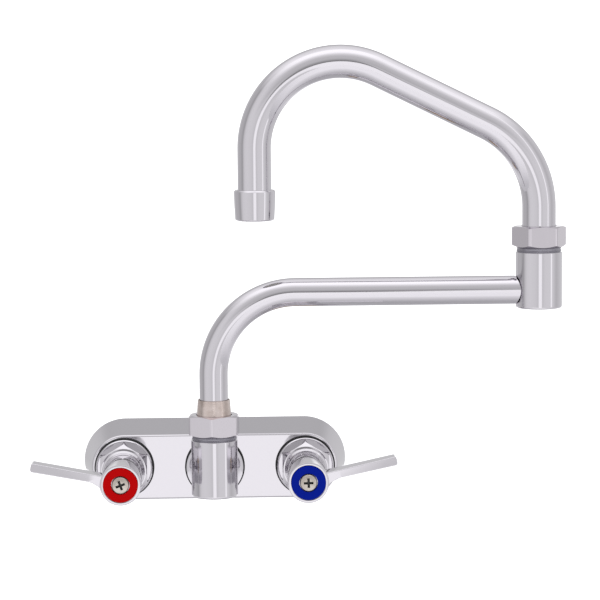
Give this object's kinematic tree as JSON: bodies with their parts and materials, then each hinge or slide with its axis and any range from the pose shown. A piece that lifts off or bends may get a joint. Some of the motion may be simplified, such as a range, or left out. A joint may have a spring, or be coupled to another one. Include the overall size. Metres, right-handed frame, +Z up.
{
  "type": "wall mounted mixing faucet",
  "caption": "Wall-mounted chrome mixing faucet with a tapered obround body, wrist-blade levers with red and blue index rings, and a double-jointed swing spout.",
  "frame": {"origin": "centre of the wall gasket's rear face, on the wall plane, level with the two valves", "axes": "+X to the right of the user, +Y into the wall, +Z up; the valves and the spout are on the -Y side"},
  "size_m": [0.2933, 0.1278, 0.259],
  "materials": {
    "chrome": "polished chrome plate on brass",
    "brass": "machined, unplated, dulled",
    "stainless": "stainless, turned",
    "rubber": "moulded black nitrile",
    "index_red": "moulded red",
    "index_blue": "moulded blue",
    "ptfe": "skived white PTFE",
    "acetal": "moulded natural acetal"
  },
  "bodies": {
    "faucet_body": {"wall_gasket": "rubber", "body_casting": "chrome", "outlet_gasket": "rubber", "outlet_elbow": "chrome", "base_swivel_nut": "chrome", "hot_inlet_shank": "brass", "hot_lock_washer": "stainless", "hot_locknut": "brass", "hot_seat_ring": "brass", "hot_bonnet": "chrome", "hot_bonnet_gasket": "rubber", "hot_packing_ring": "rubber", "cold_inlet_shank": "brass", "cold_lock_washer": "stainless", "cold_locknut": "brass", "cold_seat_ring": "brass", "cold_bonnet": "chrome", "cold_bonnet_gasket": "rubber", "cold_packing_ring": "rubber"},
    "hot_seat_disc": {"hot_disc_holder": "brass", "hot_seat_washer": "rubber", "hot_washer_screw": "stainless"},
    "hot_handle": {"hot_stem": "brass", "hot_lever": "chrome", "hot_index_ring": "index_red", "hot_handle_screw": "stainless"},
    "cold_seat_disc": {"cold_disc_holder": "brass", "cold_seat_washer": "rubber", "cold_washer_screw": "stainless"},
    "cold_handle": {"cold_stem": "brass", "cold_lever": "chrome", "cold_index_ring": "index_blue", "cold_handle_screw": "stainless"},
    "lower_arm": {"arm_swivel_stem": "brass", "arm_oring_upper": "rubber", "arm_oring_lower": "rubber", "arm_thrust_washer": "ptfe", "lower_arm_tube": "chrome", "elbow_socket": "chrome", "elbow_swivel_nut": "chrome"},
    "upper_spout": {"spout_swivel_stem": "brass", "spout_oring_upper": "rubber", "spout_oring_lower": "rubber", "spout_thrust_washer": "ptfe", "upper_spout_tube": "chrome", "aerator_housing": "chrome", "aerator_washer": "rubber", "flow_straightener": "acetal"}
  },
  "joints": [
    {"name": "hot_seat_lift", "type": "slide", "parent": "faucet_body", "child": "hot_seat_disc", "axis": [0, -1, 0], "range_m": [0, 0.0025]},
    {"name": "hot_handle_turn", "type": "hinge", "parent": "hot_seat_disc", "child": "hot_handle", "pos_m": [-0.0508, -0.0586, 0], "axis": [0, -1, 0], "range_deg": [0, 90]},
    {"name": "cold_seat_lift", "type": "slide", "parent": "faucet_body", "child": "cold_seat_disc", "axis": [0, -1, 0], "range_m": [0, 0.0025]},
    {"name": "cold_handle_turn", "type": "hinge", "parent": "cold_seat_disc", "child": "cold_handle", "pos_m": [0.0508, -0.0586, 0], "axis": [0, 1, 0], "range_deg": [0, 90]},
    {"name": "arm_swing", "type": "hinge", "parent": "faucet_body", "child": "lower_arm", "pos_m": [0, -0.0586, 0], "axis": [0, 0, 1], "range_deg": [-190, 10]},
    {"name": "spout_swing", "type": "hinge", "parent": "lower_arm", "child": "upper_spout", "pos_m": [0.1787, -0.0586, 0.12], "axis": [0, 0, 1], "continuous": true}
  ],
  "couplings": [
    {"joint": "hot_seat_lift", "follows": "hot_handle_turn", "m_per_rad": 0.0015915},
    {"joint": "cold_seat_lift", "follows": "cold_handle_turn", "m_per_rad": 0.0015915}
  ]
}
